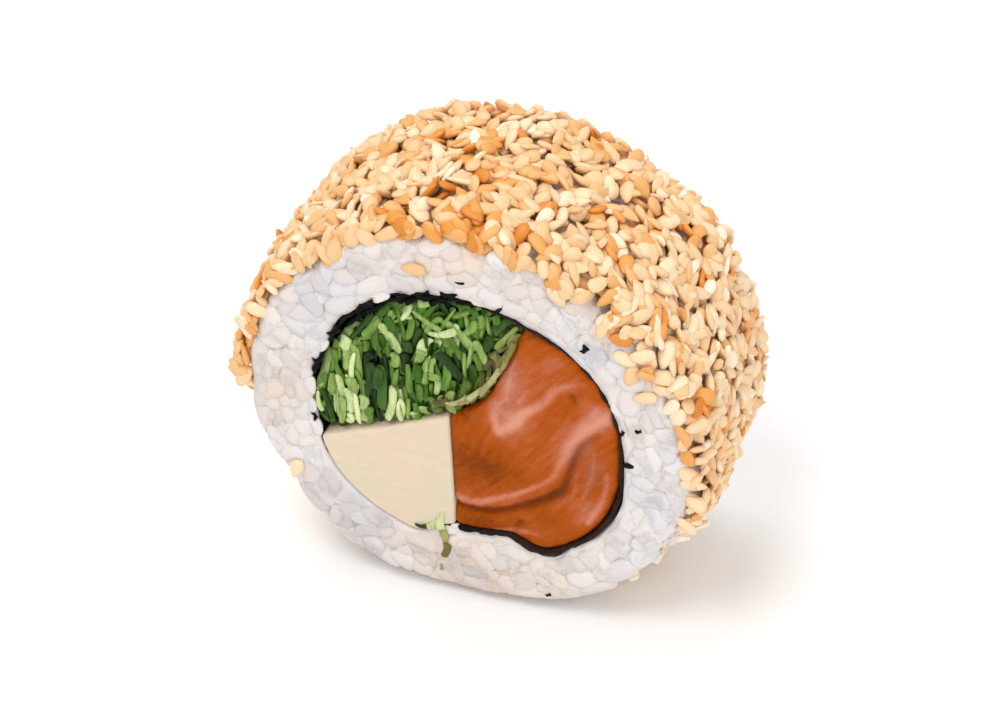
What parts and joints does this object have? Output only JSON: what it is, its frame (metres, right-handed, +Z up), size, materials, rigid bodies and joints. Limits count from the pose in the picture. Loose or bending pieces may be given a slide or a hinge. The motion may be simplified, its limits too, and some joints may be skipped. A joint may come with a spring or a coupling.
{
  "type": "philadelphia roll piece",
  "caption": "Cut piece of an inside-out sushi roll: sesame-coated rice round a nori sheet that holds salmon, cream cheese and shredded greens; it stands on its curved side.",
  "frame": {"origin": "on the ground, under the middle of the piece's bounding box", "axes": "+Z up; Y along the roll's axis, with the cut face that the picture shows at -Y; +X to the right of that face"},
  "size_m": [0.0472, 0.0216, 0.0444],
  "materials": {
    "rice": "moist cooked rice",
    "sesame": "lightly toasted sesame seeds",
    "nori": "damp dried seaweed",
    "greens": "shredded green vegetable",
    "cream_cheese": "smooth soft cheese",
    "salmon": "moist raw salmon with pale fat lines"
  },
  "bodies": {
    "root": {"rice": "rice", "nori": "nori", "greens": "greens", "cream_cheese": "cream_cheese", "salmon": "salmon"}
  },
  "joints": []
}
